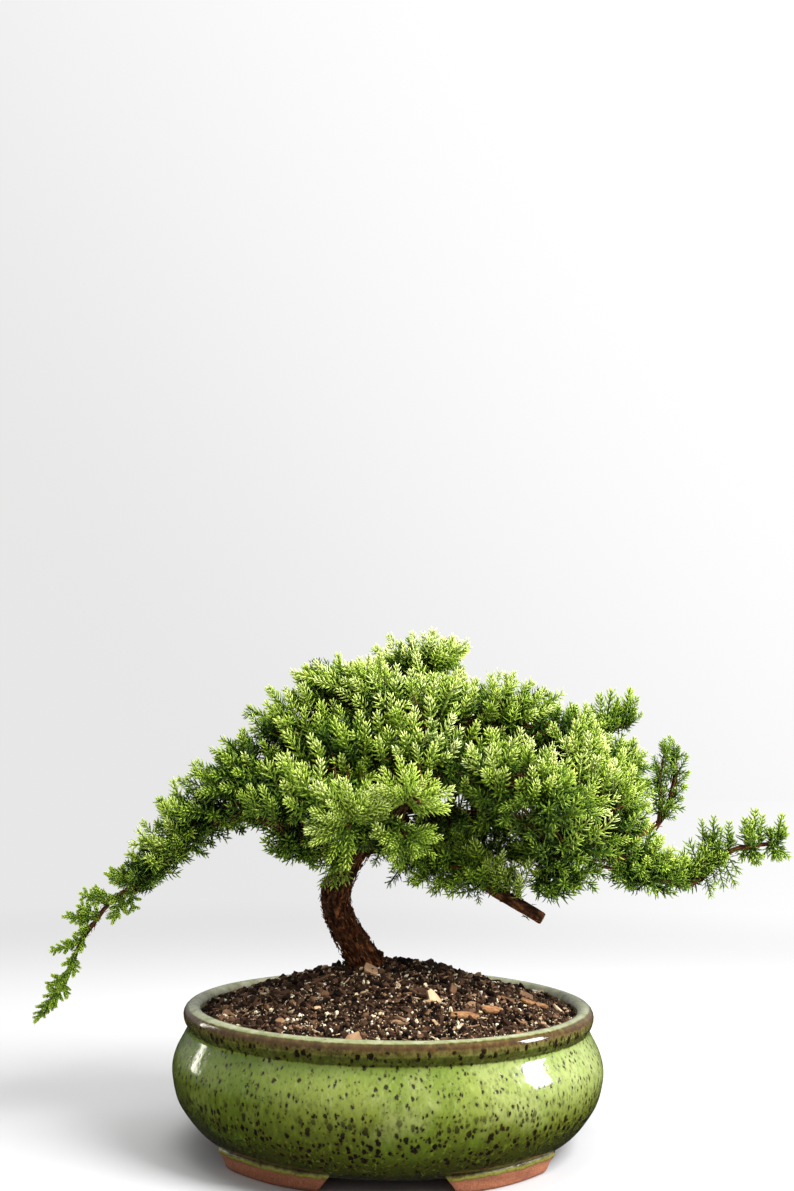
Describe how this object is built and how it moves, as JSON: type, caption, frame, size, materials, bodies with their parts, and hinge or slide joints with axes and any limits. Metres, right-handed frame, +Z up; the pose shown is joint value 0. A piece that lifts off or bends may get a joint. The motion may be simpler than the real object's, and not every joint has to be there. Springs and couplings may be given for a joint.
{
  "type": "potted juniper bonsai",
  "caption": "Juniper bonsai with a leaning trunk, wide flat crown and trailing side branch, planted in mounded soil in a round green speckled glazed pot on feet.",
  "frame": {"origin": "under the middle of the whole object's bounding box, on the plane that the pot's four feet stand on", "axes": "+Z up; X along the long reach of the two side branches, +X towards the shorter, right one; -Y is the front, the side seen in the picture. The pot's own vertical axis stands at x = -15.7 mm, y = 0."},
  "size_m": [0.4572, 0.26, 0.314],
  "materials": {
    "glaze": "gloss",
    "clay": "matte",
    "mesh_plastic": "matte",
    "soil": "matte",
    "bark": "matte",
    "bark_flake": "matte",
    "needles": "satin",
    "needles_bright": "satin",
    "needles_dark": "satin"
  },
  "bodies": {
    "root": {"pot": "glaze", "pot_foot_front_right": "clay", "pot_foot_front_left": "clay", "pot_foot_back_right": "clay", "pot_foot_back_left": "clay", "drain_screen": "mesh_plastic", "trunk": "bark", "potting_soil": "soil", "bark_chip_1": "bark_flake", "bark_chip_2": "bark_flake", "bark_chip_3": "bark_flake", "leader_top": "bark", "branch_left": "bark", "branch_low_right": "bark", "branch_right": "bark", "branch_right_stub": "bark", "branch_right_front": "bark", "branch_right_sprig": "bark", "branch_left_high": "bark", "branch_front": "bark", "branch_back": "bark", "foliage_left_arm_low": "needles", "foliage_left_arm_mid": "needles", "foliage_left_arm_top": "needles", "foliage_left_shoulder": "needles", "foliage_crown_left": "needles", "foliage_crown_back": "needles", "foliage_crown_mid": "needles", "foliage_crown_right": "needles", "foliage_right_shoulder": "needles", "foliage_right_upper": "needles", "foliage_right_side": "needles", "foliage_right_low": "needles", "foliage_right_hip": "needles", "foliage_centre_high": "needles", "foliage_centre_left": "needles", "foliage_left_front": "needles", "foliage_left_front_low": "needles", "foliage_front_left": "needles", "foliage_front_bright": "needles_bright", "foliage_front_low": "needles_bright", "foliage_trunk_tuft": "needles", "foliage_centre_right": "needles", "foliage_right_front": "needles", "foliage_under_dark": "needles_dark", "foliage_low_branch_spray": "needles_dark", "foliage_low_branch_tuft": "needles", "foliage_right_arm": "needles", "foliage_right_arm_end": "needles", "foliage_right_tip_inner": "needles", "foliage_right_tip_outer": "needles", "foliage_right_sprig": "needles", "foliage_back_tuft": "needles", "foliage_back_right": "needles", "foliage_back_centre": "needles", "foliage_back_left": "needles", "foliage_back_low": "needles_dark", "foliage_cascade_upper": "needles", "foliage_cascade_mid": "needles", "foliage_cascade_tip": "needles"}
  },
  "joints": []
}
